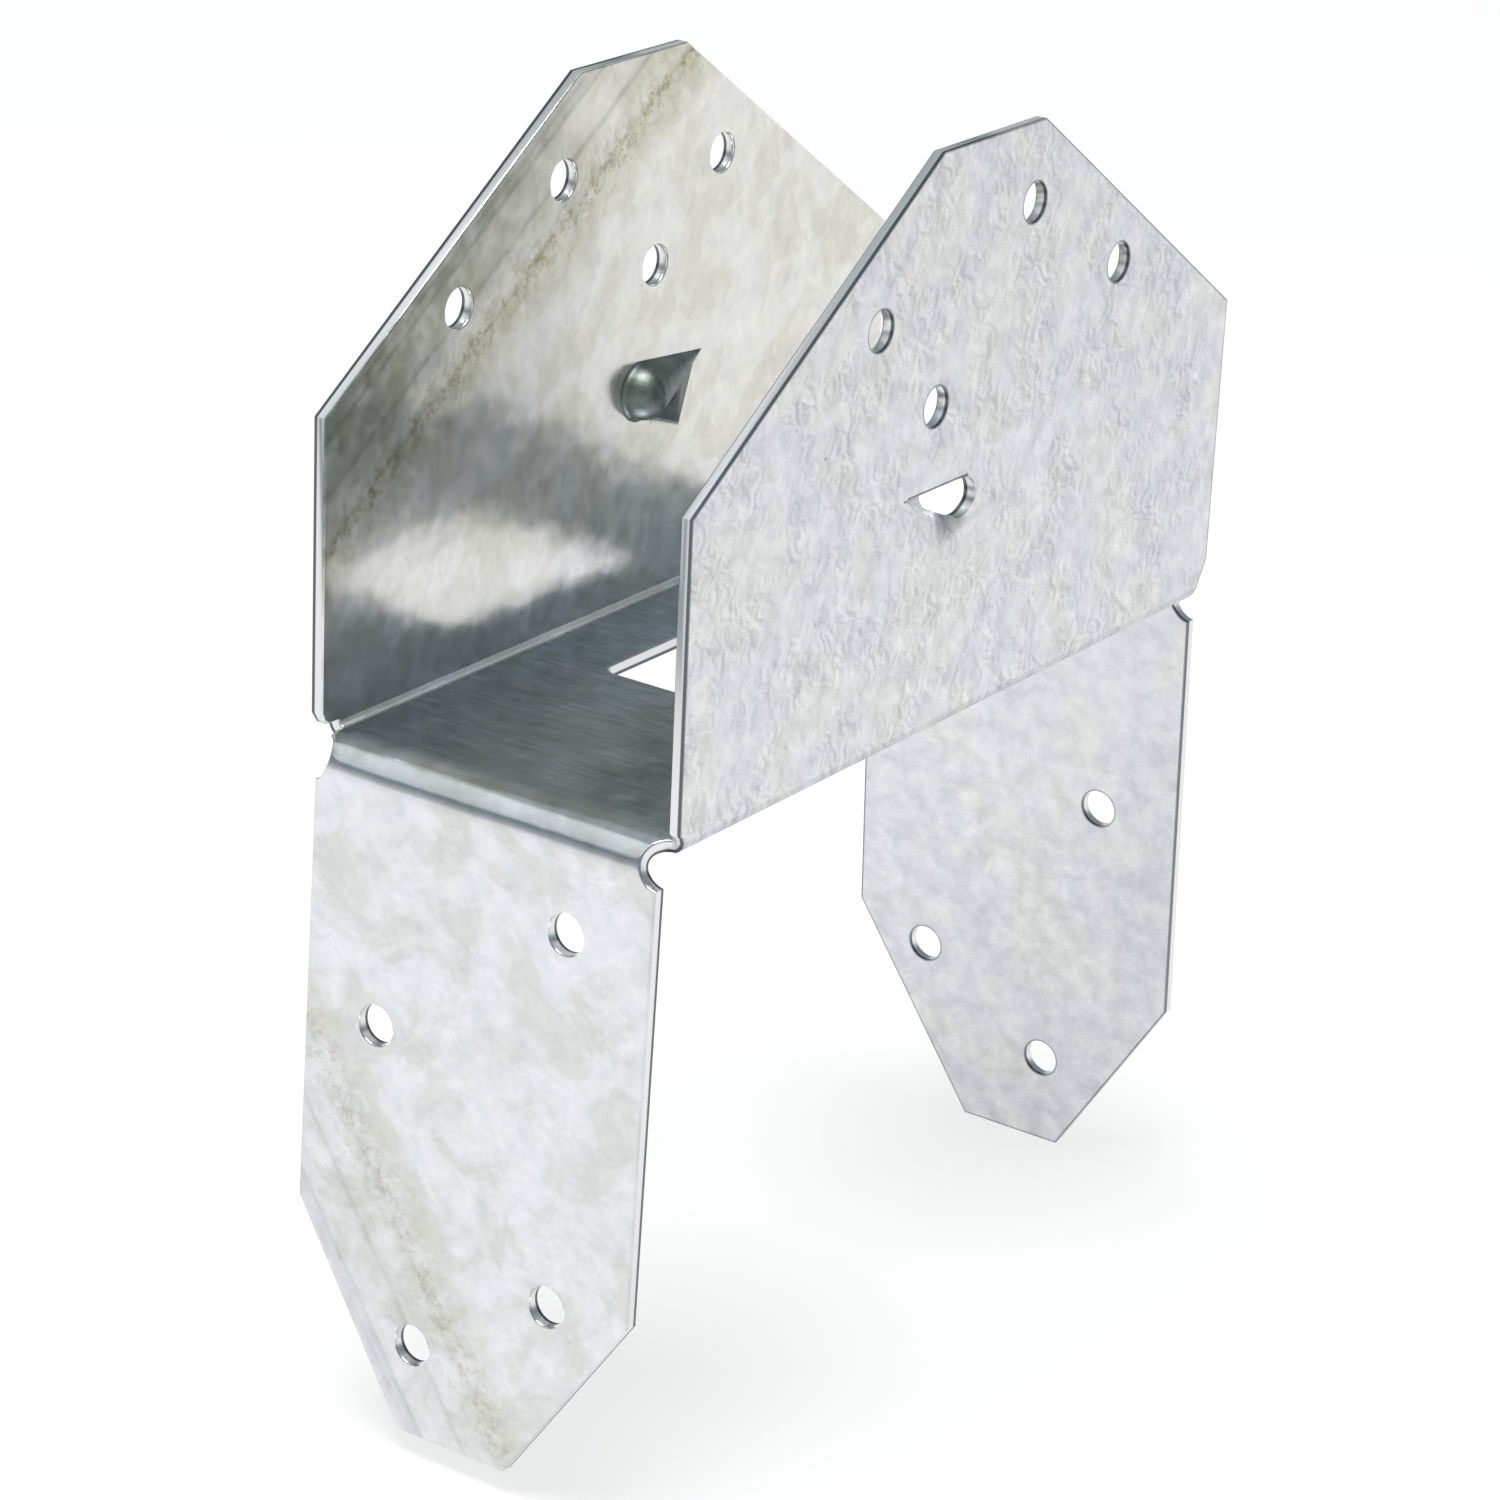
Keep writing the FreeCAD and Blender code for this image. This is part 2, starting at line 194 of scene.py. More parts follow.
class Pen:
    """Draws one closed outline in the blank, side by side."""

    def __init__(self, bm: BMesh, start: Vector) -> None:
        """Put the pen down at a point of the blank."""
        self.bm = bm
        self.first = bm.verts.new((start[0], start[1], 0.0))
        self.tip = self.first

    def line_to(self, point: Vector) -> "Pen":
        """Draw a straight side to a point.

        Args:
            point: where the side ends.

        Returns:
            the pen.
        """
        drawn = bmesh.ops.extrude_vert_indiv(self.bm, verts=[self.tip])
        self.tip = drawn["verts"][0]
        self.tip.co = (point[0], point[1], 0.0)
        return self

    def arc_about(self, centre: Vector, angle: float, steps: int) -> None:
        """Draw an arc.

        Args:
            centre: the arc's centre.
            angle: how far it turns, in radians, counter-clockwise.
            steps: how many straight pieces it has.
        """
        middle = (centre[0], centre[1], 0.0)
        swept = bmesh.ops.spin(
            self.bm, geom=[self.tip], cent=middle, axis=(0, 0, 1), angle=angle, steps=steps
        )
        self.tip = next(v for v in swept["geom_last"] if isinstance(v, BMVert))

    def notch_to(self, centre: Vector, point: Vector, steps: int) -> None:
        """Draw an arc clockwise to a point, and land on it exactly.

        Args:
            centre: the arc's centre.
            point: where the arc ends.
            steps: how many straight pieces it has.
        """
        here = self.tip.co.xy - centre
        there = point - centre
        swing = (math.atan2(here.y, here.x) - math.atan2(there.y, there.x)) % (2 * math.pi)
        self.arc_about(centre, -swing, steps)
        self.tip.co = (point[0], point[1], 0.0)

    def close(self) -> None:
        """Draw the last side back to where the outline began."""
        self.bm.edges.new((self.tip, self.first))


@dataclass(frozen=True)
class Upright:
    """One of the two sides that stand up beside the rafter."""

    side: Side
    holes: tuple[tuple[float, float], ...]  # along the seat, and below the top
    half_foot: float = 45.25
    half_top: float = 8.5
    shoulder: float = 31.75
    height: float = 57.15


@dataclass(frozen=True)
class PlateFlange:
    """One of the two ends that hang down beside the wall plate, measured down from the seat's underside."""

    end: End
    depth: float
    shoulders: tuple[float, float]
    tip: tuple[float, float]
    holes: tuple[tuple[float, float], ...]  # across, and depth


@dataclass(frozen=True)
class Scoop:
    """A nailing scoop pressed into an upright: half a cone with its axis in the inner face.

    The press drew the sheet in with it: a flank below, down to a corner, and a narrow lip above.
    Places beside it are given along it from its point, and down from its middle.
    """

    side: Side
    start: float  # its point, along the seat
    drop: float  # its point, below the upright's top
    run: float  # from its point to the centre of its round end
    slope: float  # degrees that it falls from its point
    mouth: float | None  # from its point to where it is broken open
    flank: tuple[tuple[float, float], ...]  # the flank's corners
    flank_reach: float = 3.0  # from the flank's sides to its deepest place
    flank_depth: float = 1.2
    flank_edge: float = 0.3  # width of the soft edge along the flank's sides
    flank_curve: float = 1.25  # power by which the flank deepens
    lip: float = 0.35
    lip_depth: float = 0.25
    round: float = 2.0
    flare: float = 0.45

    @property
    def spread(self) -> float:
        """Half angle of the opening at its point, in radians."""
        return math.asin(self.round / self.run)

    def above(self, along: float, down: float) -> float:
        """Find how far a place lies above the opening's upper side."""
        return -along * math.sin(self.spread) - down * math.cos(self.spread)

    @property
    def flank_sides(self) -> list[tuple[Vector, Vector]]:
        """List a point on each of the flank's two lower sides, and the way in from it."""
        sides = []
        for start, stop in zip(self.flank, self.flank[1:]):
            way = (Vector(stop) - Vector(start)).normalized()
            sides.append((Vector(start), Vector((way.y, -way.x))))
        return sides

    def reach(self, along: float, down: float) -> float:
        """Find how far a place lies inside the flank, which fades round the scoop's end.

        Args:
            along: the place along the scoop.
            down: the place down from it.

        Returns:
            the distance from the flank's nearer side, less than 0 outside it.
        """
        here = Vector((along, down))
        reach = min(self.flank_reach, *(inwards.dot(here - start) for start, inwards in self.flank_sides))
        held = min(max(down / self.round, 0.0), 1.0)
        if along > self.run - self.round / 4:
            return reach * held**2 * (3 - 2 * held)
        return reach if down > 0 else min(reach, 0.0)

    def depth(self, along: float, down: float) -> float:
        """Find how far the sheet is drawn in at a place beside the scoop.

        Args:
            along: the place along the scoop.
            down: the place down from it.

        Returns:
            the depth, which is 0 away from the flank and the lip.
        """
        above = self.above(along, down)
        if -SLACK < above < self.lip:
            held = max(min(along, self.run - along, 1.0), 0.0)
            return self.lip_depth * held * (1 - above / self.lip) ** 2
        share = max(self.reach(along, down), 0.0) / self.flank_reach
        return self.flank_depth * share**self.flank_curve


class Blank:
    """The flat blank: its outline, its holes and the way it folds, in millimetres."""

    sheet = 1.3
    half_plate = 19.6
    relief = 2.2
    relief_shift = -0.4
    relief_past = 0.9
    rounded_foot = ((-1.5, 1.9), (-0.6, 1.7), (0.3, 1.25), (1.1, 0.75), (1.8, 0.3), (2.5, 0.0))
    foot_corners = {  # of the uprights' feet, beside the reliefs: out from the fold, and in from the end
        (Side.NEAR, End.FRONT): ((-1.5, 0.95), (-0.7, 0.75), (0.0, 0.4), (0.4, 0.0)),
        (Side.FAR, End.FRONT): ((0.0, 0.8), (0.5, 0.45), (1.2, 0.0)),
        (Side.NEAR, End.REAR): rounded_foot,
        (Side.FAR, End.REAR): rounded_foot,
    }
    cutout = (10.5, 14.8, 1.6)  # half its width, half its length, and its corners' radius
    hole = 2.0
    rim = ((0.07, 0.2), (0.13, 0.048))  # rings inside a cut edge: width, and the drop of the edge before it
    fold_steps = 8
    corner_steps = 8
    relief_steps = 22
    scoop_steps = 26
    hole_steps = 44

    def __init__(self) -> None:
        """Set up the folds and the parts of the tie."""
        self.rafter_fold = Fold(19.25, 0.6, 90.0, self.sheet)
        self.plate_fold = Fold(42.85, 2.4, 87.6, self.sheet)
        self.uprights = (
            Upright(Side.NEAR, ((7.4, 7.8), (23.4, 16.9), (-17.4, 14.7), (-7.6, 24.1))),
            Upright(Side.FAR, ((15.0, 12.2), (-10.7, 10.0), (4.4, 21.5), (-26.2, 19.2))),
        )
        front_holes = ((10.1, 9.8), (-11.2, 25.1), (10.3, 46.9), (-5.2, 56.2))
        rear_holes = ((-10.6, 11.6), (10.1, 26.7), (-11.0, 48.8), (4.4, 58.1))
        self.flanges = (
            PlateFlange(End.FRONT, 65.5, (45.1, 46.1), (-6.4, 6.3), front_holes),
            PlateFlange(End.REAR, 67.8, (45.7, 47.9), (-5.0, 6.8), rear_holes),
        )
        self.scoops = (
            Scoop(Side.NEAR, -11.9, 32.3, 10.2, 11.5, 6.4, ((-0.3, 0.3), (7.3, 5.2), (14.0, 1.2))),
            Scoop(Side.FAR, 11.5, 32.1, 9.1, 11.4, None, ((-0.4, 0.1), (3.4, 6.4), (12.5, 1.0))),
        )

    def raised(self, side: Side, along: float, height: float) -> Vector:
        """Find the place in the blank of a point on an upright, by its height over the seat's underside."""
        fold = self.rafter_fold
        return Vector((side.value * (fold.start + fold.arc + height - fold.radius - self.sheet), along))

    def lowered(self, end: End, across: float, depth: float) -> Vector:
        """Find the place in the blank of a point on a plate flange.

        Args:
            end: the flange's end.
            across: the point's place across the flange.
            depth: how far it lies under the seat's underside.

        Returns:
            the place in the blank.
        """
        fold = self.plate_fold
        lean = math.radians(90 - fold.degrees)
        setback = fold.radius * (1 - math.sin(lean)) / math.cos(lean)
        return Vector((across, end.value * (fold.start + fold.arc + depth - setback)))

    def relief_centre(self, side: Side, end: End) -> Vector:
        """Find the centre of the round bend relief at one corner of the seat.

        Args:
            side: the upright's side.
            end: the plate flange's end.

        Returns:
            the centre's place in the blank.
        """
        across = self.rafter_fold.start + self.rafter_fold.arc / 2
        along = self.plate_fold.start + self.plate_fold.arc / 2 + self.relief_past
        return Vector((side.value * across + self.relief_shift, end.value * along))

    def corner(self, side: Side, end: End) -> list[Vector]:
        """List the corners of the outline round one bend relief.

        Args:
            side: the upright's side.
            end: the plate flange's end.

        Returns:
            the corners of the upright's foot, the slit beside the fold, and the relief's two meetings with
            the plate flange's side.
        """
        centre = self.relief_centre(side, end)
        foot = side.value * (self.rafter_fold.start + self.rafter_fold.arc)
        edge = side.value * self.half_plate
        half_foot = self.uprights[0].half_foot
        half_chord = math.sqrt(self.relief**2 - (edge - centre.x) ** 2)
        fold_end = end.value * self.plate_fold.start
        feet = [
            Vector((foot + side.value * out, end.value * (half_foot - back)))
            for out, back in reversed(self.foot_corners[side, end])
        ]
        return [
            *feet,
            Vector((feet[-1].x, fold_end)),
            Vector((edge, fold_end)),
            Vector((edge, centre.y - end.value * half_chord)),
            Vector((edge, centre.y + end.value * half_chord)),
        ]

    def draw_outline(self, bm: BMesh) -> None:
        """Draw the blank's outside, counter-clockwise from the front flange's tip.

        Args:
            bm: the blank's mesh.
        """
        front, rear = self.flanges
        near, far = self.uprights
        pen = Pen(bm, self.lowered(End.FRONT, front.tip[0], front.depth))
        for upright, first, last, corner in ((near, front, rear, 1), (far, rear, front, 0)):
            edge = upright.side.value * self.half_plate
            pen.line_to(self.lowered(first.end, first.tip[corner], first.depth))
            pen.line_to(self.lowered(first.end, edge, first.shoulders[corner]))
            self.draw_relief(pen, upright.side, first.end, towards_upright=True)
            self.draw_upright(pen, upright, first.end)
            self.draw_relief(pen, upright.side, last.end, towards_upright=False)
            pen.line_to(self.lowered(last.end, edge, last.shoulders[corner]))
            if last is rear:
                pen.line_to(self.lowered(last.end, last.tip[corner], last.depth))
        pen.close()

    def draw_relief(self, pen: Pen, side: Side, end: End, towards_upright: bool) -> None:
        """Draw the outline round one bend relief.

        Args:
            pen: the pen that draws the outline.
            side: the upright's side.
            end: the plate flange's end.
            towards_upright: whether the pen comes from the plate flange.
        """
        centre = self.relief_centre(side, end)
        *corners, inner, outer = self.corner(side, end)
        if towards_upright:
            pen.line_to(outer).notch_to(centre, inner, self.relief_steps)
            for corner in reversed(corners):
                pen.line_to(corner)
        else:
            for corner in (*corners, inner):
                pen.line_to(corner)
            pen.notch_to(centre, outer, self.relief_steps)

    def draw_upright(self, pen: Pen, upright: Upright, first: End) -> None:
        """Draw an upright's sloped top.

        Args:
            pen: the pen that draws the outline.
            upright: the upright.
            first: the end that the pen comes from.
        """
        points = [(upright.half_foot, upright.shoulder), (upright.half_top, upright.height)]
        for sign, ordered in ((first.value, points), (-first.value, reversed(points))):
            for along, height in ordered:
                pen.line_to(self.raised(upright.side, sign * along, height))

    def draw_holes(self, bm: BMesh) -> None:
        """Draw the nail holes and the seat's cut-out.

        Args:
            bm: the blank's mesh.
        """
        places = [
            self.raised(upright.side, along, upright.height - drop)
            for upright in self.uprights
            for along, drop in upright.holes
        ]
        places += [
            self.lowered(flange.end, across, depth)
            for flange in self.flanges
            for across, depth in flange.holes
        ]
        for place in places:
            there = Matrix.Translation(place.to_3d())
            bmesh.ops.create_circle(bm, segments=self.hole_steps, radius=self.hole, matrix=there)
        half_x, half_y, radius = self.cutout
        pen = Pen(bm, Vector((half_x, radius - half_y)))
        corners = (
            (1, 1, (half_x, half_y - radius)),
            (-1, 1, (radius - half_x, half_y)),
            (-1, -1, (-half_x, radius - half_y)),
            (1, -1, (half_x - radius, -half_y)),
        )
        for sign_x, sign_y, start in corners:
            pen.line_to(Vector(start))
            centre = Vector((sign_x * (half_x - radius), sign_y * (half_y - radius)))
            pen.arc_about(centre, math.pi / 2, self.corner_steps)
        bmesh.ops.weld_verts(bm, targetmap={pen.tip: pen.first})

    def scoop_frame(self, scoop: Scoop) -> Matrix:
        """Find where a scoop lies in the blank.

        Args:
            scoop: the scoop.

        Returns:
            its frame: X along it from its point, Y down from it and Z into the tie, at the inner face.
        """
        height = self.uprights[0].height - scoop.drop
        sign = scoop.side.value
        point = self.raised(scoop.side, scoop.start, height)
        fall = math.radians(scoop.slope)
        along = Vector((-sign * math.sin(fall), sign * math.cos(fall), 0.0))
        inwards = Vector((0.0, 0.0, 1.0))
        turned = Matrix((along, inwards.cross(along), inwards)).transposed().to_4x4()
        return Matrix.Translation((point.x, point.y, self.sheet)) @ turned

    def draw_scoop(self, bm: BMesh, scoop: Scoop) -> None:
        """Draw a scoop's opening: a wedge from its point to its round end.

        Args:
            bm: the blank's mesh.
            scoop: the scoop.
        """
        place = self.scoop_frame(scoop)
        widest = scoop.run * math.cos(scoop.spread) ** 2
        half = widest * math.tan(scoop.spread)
        pen = Pen(bm, (place @ Vector((0, 0, 0))).xy)
        pen.line_to((place @ Vector((widest, -half, 0))).xy)
        centre = (place @ Vector((scoop.run, 0, 0))).xy
        pen.arc_about(centre, math.pi + 2 * scoop.spread, self.scoop_steps)
        pen.close()

    def fold(self, point: Vector) -> Vector:
        """Fold one point of the blank to its place on the tie.

        Args:
            point: the place in the blank, with its height over the blank's underside.

        Returns:
            the place on the tie.
        """
        along_x = abs(point.x) - self.rafter_fold.start
        along_y = abs(point.y) - self.plate_fold.start
        if along_y > 0 and abs(point.x) <= self.half_plate + SLACK:
            out, rise = self.plate_fold.turn(along_y, point.z)
            return Vector((point.x, math.copysign(self.plate_fold.start + out, point.y), -rise))
        if along_x > 0:
            out, rise = self.rafter_fold.turn(along_x, self.sheet - point.z)
            return Vector((math.copysign(self.rafter_fold.start + out, point.x), point.y, self.sheet + rise))
        return point.copy()


class RafterTie:
    """The tie: its sheet, its scoops and its finishes."""

    node = "rafter_tie"
    slot = "galvanised_steel"
    window = ((-1.2, 14.6), (-3.6, 6.9))  # the sheet round a scoop that is cut up: along it, and down from it
    columns = 20  # of small faces in the window
    rows = (0.4, 0.5, 13)  # cuts below a scoop's middle: the first, their spacing and their number
    strips = (0.5, 2.4)  # how far the folds are cut: past the plate flanges' sides, and past the seat's ends
    sunk = -0.02  # how far the feet of a scoop's outside start in the sheet
    arch_steps = 24
    flare_steps = 5
    dome_steps = 20
    cone_steps = 6
    cone_tip = 0.02  # size of a cone's last section beside the one before
    sharp = 50.0  # degrees over which an edge isn't smoothed

    def __init__(self, blank: Blank) -> None:
        """Take the blank that the tie is folded from, and start its mesh."""
        self.blank = blank
        self.bm = bmesh.new()

    def punch(self) -> None:
        """Fill the blank's outline, with the rings inside every cut edge that its rounding needs."""
        bm, blank = self.bm, self.blank
        blank.draw_outline(bm)
        blank.draw_holes(bm)
        for scoop in blank.scoops:
            blank.draw_scoop(bm, scoop)
        bmesh.ops.remove_doubles(bm, verts=bm.verts[:], dist=WELD)
        bmesh.ops.triangle_fill(bm, use_beauty=True, edges=bm.edges[:], normal=(0, 0, 1))
        drop = bm.verts.layers.float.new("drop")
        edge_verts = [v for v in bm.verts if v.is_boundary]
        inner = bm.faces[:]
        for width, rounding in blank.rim:
            for vert in edge_verts:
                vert[drop] = rounding
            bmesh.ops.inset_region(bm, faces=inner, thickness=width, use_boundary=True, use_even_offset=True)
            kept = set(inner)
            edge_verts = [v for v in bm.verts if len({f in kept for f in v.link_faces}) == 2]
        undropped = [vert for scoop in blank.scoops for vert, _, _ in self.beside(scoop)]
        for vert in (*edge_verts, *undropped):
            vert[drop] = 0.0

    def beside(self, scoop: Scoop) -> list[tuple[BMVert, float, float]]:
        """List the vertices near a scoop.

        Args:
            scoop: the scoop.

        Returns:
            each vertex, with its place along the scoop and down from it.
        """
        to_scoop = self.blank.scoop_frame(scoop).inverted()
        places = [(vert, to_scoop @ vert.co) for vert in self.bm.verts]
        (left, right), (high, low) = self.window
        return [(v, at.x, at.y) for v, at in places if left <= at.x <= right and high <= at.y <= low]

    def rule(self, scoop: Scoop) -> None:
        """Cut the sheet round a scoop into small faces, so that its flank and its lip can be drawn in.

        Args:
            scoop: the scoop.
        """
        place = self.blank.scoop_frame(scoop)
        to_scoop = place.inverted()
        (left, right), (high, low) = self.window

        def touches(face: BMFace) -> bool:
            """Tell whether a face reaches into the window round the scoop."""
            corners = [to_scoop @ vert.co for vert in face.verts]
            across = min(c.x for c in corners) < right and max(c.x for c in corners) > left
            return across and min(c.y for c in corners) < low and max(c.y for c in corners) > high

        def lies_in(face: BMFace) -> bool:
            """Tell whether a face's middle lies in the window round the scoop."""
            middle = to_scoop @ face.calc_center_median()
            return left < middle.x < right and high < middle.y < low

        def cut_at(at: Vector, normal: Vector, chosen: Callable[[BMFace], bool]) -> None:
            """Cut the chosen faces along a plane that is given in the scoop's frame."""
            self.cut(place @ at, place.to_3x3() @ normal, chosen)

        along, down = Vector((1, 0, 0)), Vector((0, 1, 0))
        for side in (left, right):
            cut_at(along * side, along, touches)
        for side in (high, low):
            cut_at(down * side, down, touches)
        upwards = Vector((-math.sin(scoop.spread), -math.cos(scoop.spread), 0))
        for share in (0.5, 1.0):
            cut_at(upwards * scoop.lip * share, upwards, lies_in)
        for start, inwards in scoop.flank_sides:
            for offset in (0.0, scoop.flank_edge):
                cut_at((start + inwards * offset).to_3d(), inwards.to_3d(), lies_in)
        for step in range(1, self.columns):
            cut_at(along * (left + (right - left) * step / self.columns), along, lies_in)
        first, spacing, count = self.rows
        for step in range(count):
            cut_at(down * (first + spacing * step), down, lies_in)

    def draw_in(self, scoop: Scoop) -> None:
        """Draw the sheet in beside a scoop, which stretches the zinc on the lip and inside the flank. Those
        faces take the darker stretched skin, whose dark tones are painted shade.

        Args:
            scoop: the scoop.
        """
        through = self.bm.verts.layers.float["through"]
        to_scoop = self.blank.scoop_frame(scoop).inverted()
        nearby = self.beside(scoop)
        touched = {face for vert, _, _ in nearby for face in vert.link_faces}
        for face in touched:
            middle = to_scoop @ face.calc_center_median()
            on_lip = 0 < scoop.above(middle.x, middle.y) < scoop.lip and 0 < middle.x < scoop.run
            on_flank = scoop.reach(middle.x, middle.y) > scoop.flank_edge
            # the lip and the flank take the stretched skin, whose dark tones are painted shade
            stretched = {Skin.UNDER.value: on_lip, Skin.UPPER.value: on_flank}
            if stretched.get(face.material_index):
                face.material_index = Skin.PRESSED_SHADED.value
        for vert, along, down in nearby:
            if any(face.material_index == Skin.CUT.value for face in vert.link_faces):
                vert[through] = 1 - vert[through]
            vert.co.z += scoop.depth(along, down)

    def score(self) -> None:
        """Cut the blank across its folds, so that they bend in short steps."""
        steps = self.blank.fold_steps
        plate, rafter = self.blank.plate_fold, self.blank.rafter_fold
        half_width = self.blank.half_plate + self.strips[0]
        half_length = plate.start + self.strips[1]

        def in_plates(face: BMFace) -> bool:
            """Tell whether a face lies in the strip of the two plate flanges."""
            return abs(face.calc_center_median().x) <= half_width

        def in_rafter(face: BMFace) -> bool:
            """Tell whether a face lies in the strip of the two uprights."""
            return abs(face.calc_center_median().y) <= half_length

        for fold, way, chosen in ((plate, (0, 1, 0), in_plates), (rafter, (1, 0, 0), in_rafter)):
            for sign in (-1, 1):
                for step in range(steps + 1):
                    at = sign * (fold.start + fold.arc * step / steps)
                    self.cut(Vector(way) * at, Vector(way), chosen)

    def cut(self, at: Vector, normal: Vector, chosen: Callable[[BMFace], bool]) -> None:
        """Cut faces along a plane.

        Args:
            at: a point of the plane.
            normal: the plane's normal.
            chosen: tells whether a face is cut.
        """
        faces = [face for face in self.bm.faces if chosen(face)]
        edges = dict.fromkeys(edge for face in faces for edge in face.edges)
        verts = dict.fromkeys(vert for face in faces for vert in face.verts)
        geom = [*verts, *edges, *faces]
        bmesh.ops.bisect_plane(self.bm, geom=geom, dist=WELD, plane_co=at, plane_no=normal)

    def thicken(self) -> None:
        """Give the blank its thickness, and round its cut edges on the side that the punch came from."""
        bm, sheet = self.bm, self.blank.sheet
        raised = bmesh.ops.extrude_face_region(bm, geom=bm.faces[:], use_keep_orig=True)
        lifted = [v for v in raised["geom"] if isinstance(v, BMVert)]
        bmesh.ops.translate(bm, vec=(0, 0, sheet), verts=lifted)
        bmesh.ops.recalc_face_normals(bm, faces=bm.faces[:])
        for face in bm.faces:
            skin = Skin.UPPER if face.normal.z > 0 else Skin.UNDER
            face.material_index = (Skin.CUT if abs(face.normal.z) < 0.5 else skin).value
        through = bm.verts.layers.float.new("through")
        drop = bm.verts.layers.float["drop"]
        for vert in bm.verts:
            vert[through] = vert.co.z / sheet
            if vert.co.z > sheet / 2:
                vert.co.z -= vert[drop]

    def press(self, scoop: Scoop) -> None:
        """Press one scoop: its hollow, its outside with a small flare at the foot, and its end.

        Args:
            scoop: the scoop, whose end is closed or broken open.
        """
        bm, sheet = self.bm, self.blank.sheet
        place = self.blank.scoop_frame(scoop)
        closed = scoop.mouth is None
        end = scoop.run if closed else scoop.mouth
        outer_spread = math.asin((scoop.round + sheet) / (scoop.run + sheet))
        hollow_end = scoop.round if closed else end * math.tan(scoop.spread)
        outside_end = scoop.round + sheet if closed else (end + sheet) * math.tan(outer_spread)
        before = set(bm.faces)
        rims = []
        outside = (outside_end - scoop.flare, scoop.flare, -sheet)
        for radius, flare, point in ((hollow_end, 0.0, 0.0), outside):
            rims += self.shell(place, end, radius, flare, Vector((point, 0, 0)), closed)
        if closed:
            bmesh.ops.bridge_loops(bm, edges=rims)
        else:
            to_scoop = place.inverted()
            mouth = [e for e in rims if all(abs((to_scoop @ v.co).x - end) < 1e-3 for v in e.verts)]
            broken = bmesh.ops.bridge_loops(bm, edges=mouth)["faces"]
            for face in broken:
                face.material_index = Skin.CUT.value
            feet = [e for e in (*rims, *(e for face in broken for e in face.edges)) if e.is_boundary]
            bmesh.ops.holes_fill(bm, edges=list(dict.fromkeys(feet)), sides=0)
        wall = [face for face in bm.faces if face not in before]
        bmesh.ops.recalc_face_normals(bm, faces=wall)
        stretched = [face for face in wall if face.material_index == Skin.PRESSED_SHADED.value]
        crown = max(stretched, key=lambda face: face.calc_center_median().z)
        if crown.normal.z < 0:
            bmesh.ops.reverse_faces(bm, faces=wall)

    def shell(
        self, place: Matrix, end: float, radius: float, flare: float, point: Vector, closed: bool
    ) -> list[BMEdge]:
        """Make half a cone from an arched section at its wide end.

        Args:
            place: the scoop's frame.
            end: where the wide end lies, along the scoop.
            radius: the arch's radius.
            flare: radius of the fillet at each foot, or 0 for the hollow.
            point: where the cone comes to its point.
            closed: whether a dome closes the wide end.

        Returns:
            the shell's open edges.
        """
        arch = bmesh.new()
        tip = arch.verts.new((end, radius + flare, self.sunk if flare else 0.0))
        turns = [(Vector((end, 0.0, flare)), math.pi, self.arch_steps)]
        if flare:
            turns.insert(0, (Vector((end, radius + flare, flare)), -math.pi / 2, self.flare_steps))
            turns.append((Vector((end, -radius - flare, flare)), -math.pi / 2, self.flare_steps))
        for centre, angle, steps in turns:
            swept = bmesh.ops.spin(arch, geom=[tip], cent=centre, axis=(1, 0, 0), angle=angle, steps=steps)
            tip = next(v for v in swept["geom_last"] if isinstance(v, BMVert))
        edges = arch.edges[:]
        if closed:
            half = [v for v in arch.verts if v.co.y >= -1e-6]
            geom = [*half, *(e for e in edges if all(v in half for v in e.verts))]
            dome = {"cent": (end, 0, 0), "axis": (0, 0, 1), "angle": -math.pi, "steps": self.dome_steps}
            bmesh.ops.spin(arch, geom=geom, use_duplicate=False, **dome)
        for left in reversed(range(self.cone_steps)):
            drawn = bmesh.ops.extrude_edge_only(arch, edges=edges)
            edges = [e for e in drawn["geom"] if isinstance(e, BMEdge)]
            verts = [v for v in drawn["geom"] if isinstance(v, BMVert)]
            share = left / (left + 1) or self.cone_tip
            bmesh.ops.scale(arch, vec=(share, share, share), space=Matrix.Translation(-point), verts=verts)
        bmesh.ops.remove_doubles(arch, verts=arch.verts[:], dist=1e-3)
        for face in arch.faces:
            # the scoop's outside takes the stretched skin, whose dark tones are painted shade
            face.material_index = (Skin.PRESSED_SHADED if flare else Skin.UNDER).value
        bmesh.ops.transform(arch, matrix=place, verts=arch.verts[:])
        mesh = bpy.data.meshes.new("scoop_shell")
        arch.to_mesh(mesh)
        arch.free()
        before = set(self.bm.edges)
        self.bm.from_mesh(mesh)
        bpy.data.meshes.remove(mesh)
        return [e for e in self.bm.edges if e not in before and e.is_boundary]

    def build(self) -> Object:
        """Build the tie's mesh.

        Returns:
            the tie's object.
        """
        bm = self.bm
        self.punch()
        self.score()
        for scoop in self.blank.scoops:
            self.rule(scoop)
        self.thicken()
        for scoop in self.blank.scoops:
            self.draw_in(scoop)
            self.press(scoop)
        flat = bm.loops.layers.uv.new("blank")
        bm.normal_update()
        for face in bm.faces:
            shift = UPPER_SHIFT if face.normal.z > 0 else 0.0
            for loop in face.loops:
                place = loop.vert.co
                loop[flat].uv = (place.x / UV_SPAN + UV_MIDDLE[0] + shift, place.y / UV_SPAN + UV_MIDDLE[1])
        for vert in bm.verts:
            vert.co = self.blank.fold(vert.co) * MM
        bm.normal_update()
        for face in bm.faces:
            face.smooth = True
        for edge in bm.edges:
            edge.smooth = not edge.is_manifold or edge.calc_face_angle(0.0) < math.radians(self.sharp)
        mesh = bpy.data.meshes.new(self.node + "_sheet")
        bm.to_mesh(mesh)
        bm.free()
        tie = bpy.data.objects.new("folded_sheet", mesh)
        bpy.context.scene.collection.objects.link(tie)
        weighted = tie.modifiers.new("flat faces stay flat", "WEIGHTED_NORMAL")
        weighted.keep_sharp = True
        return tie

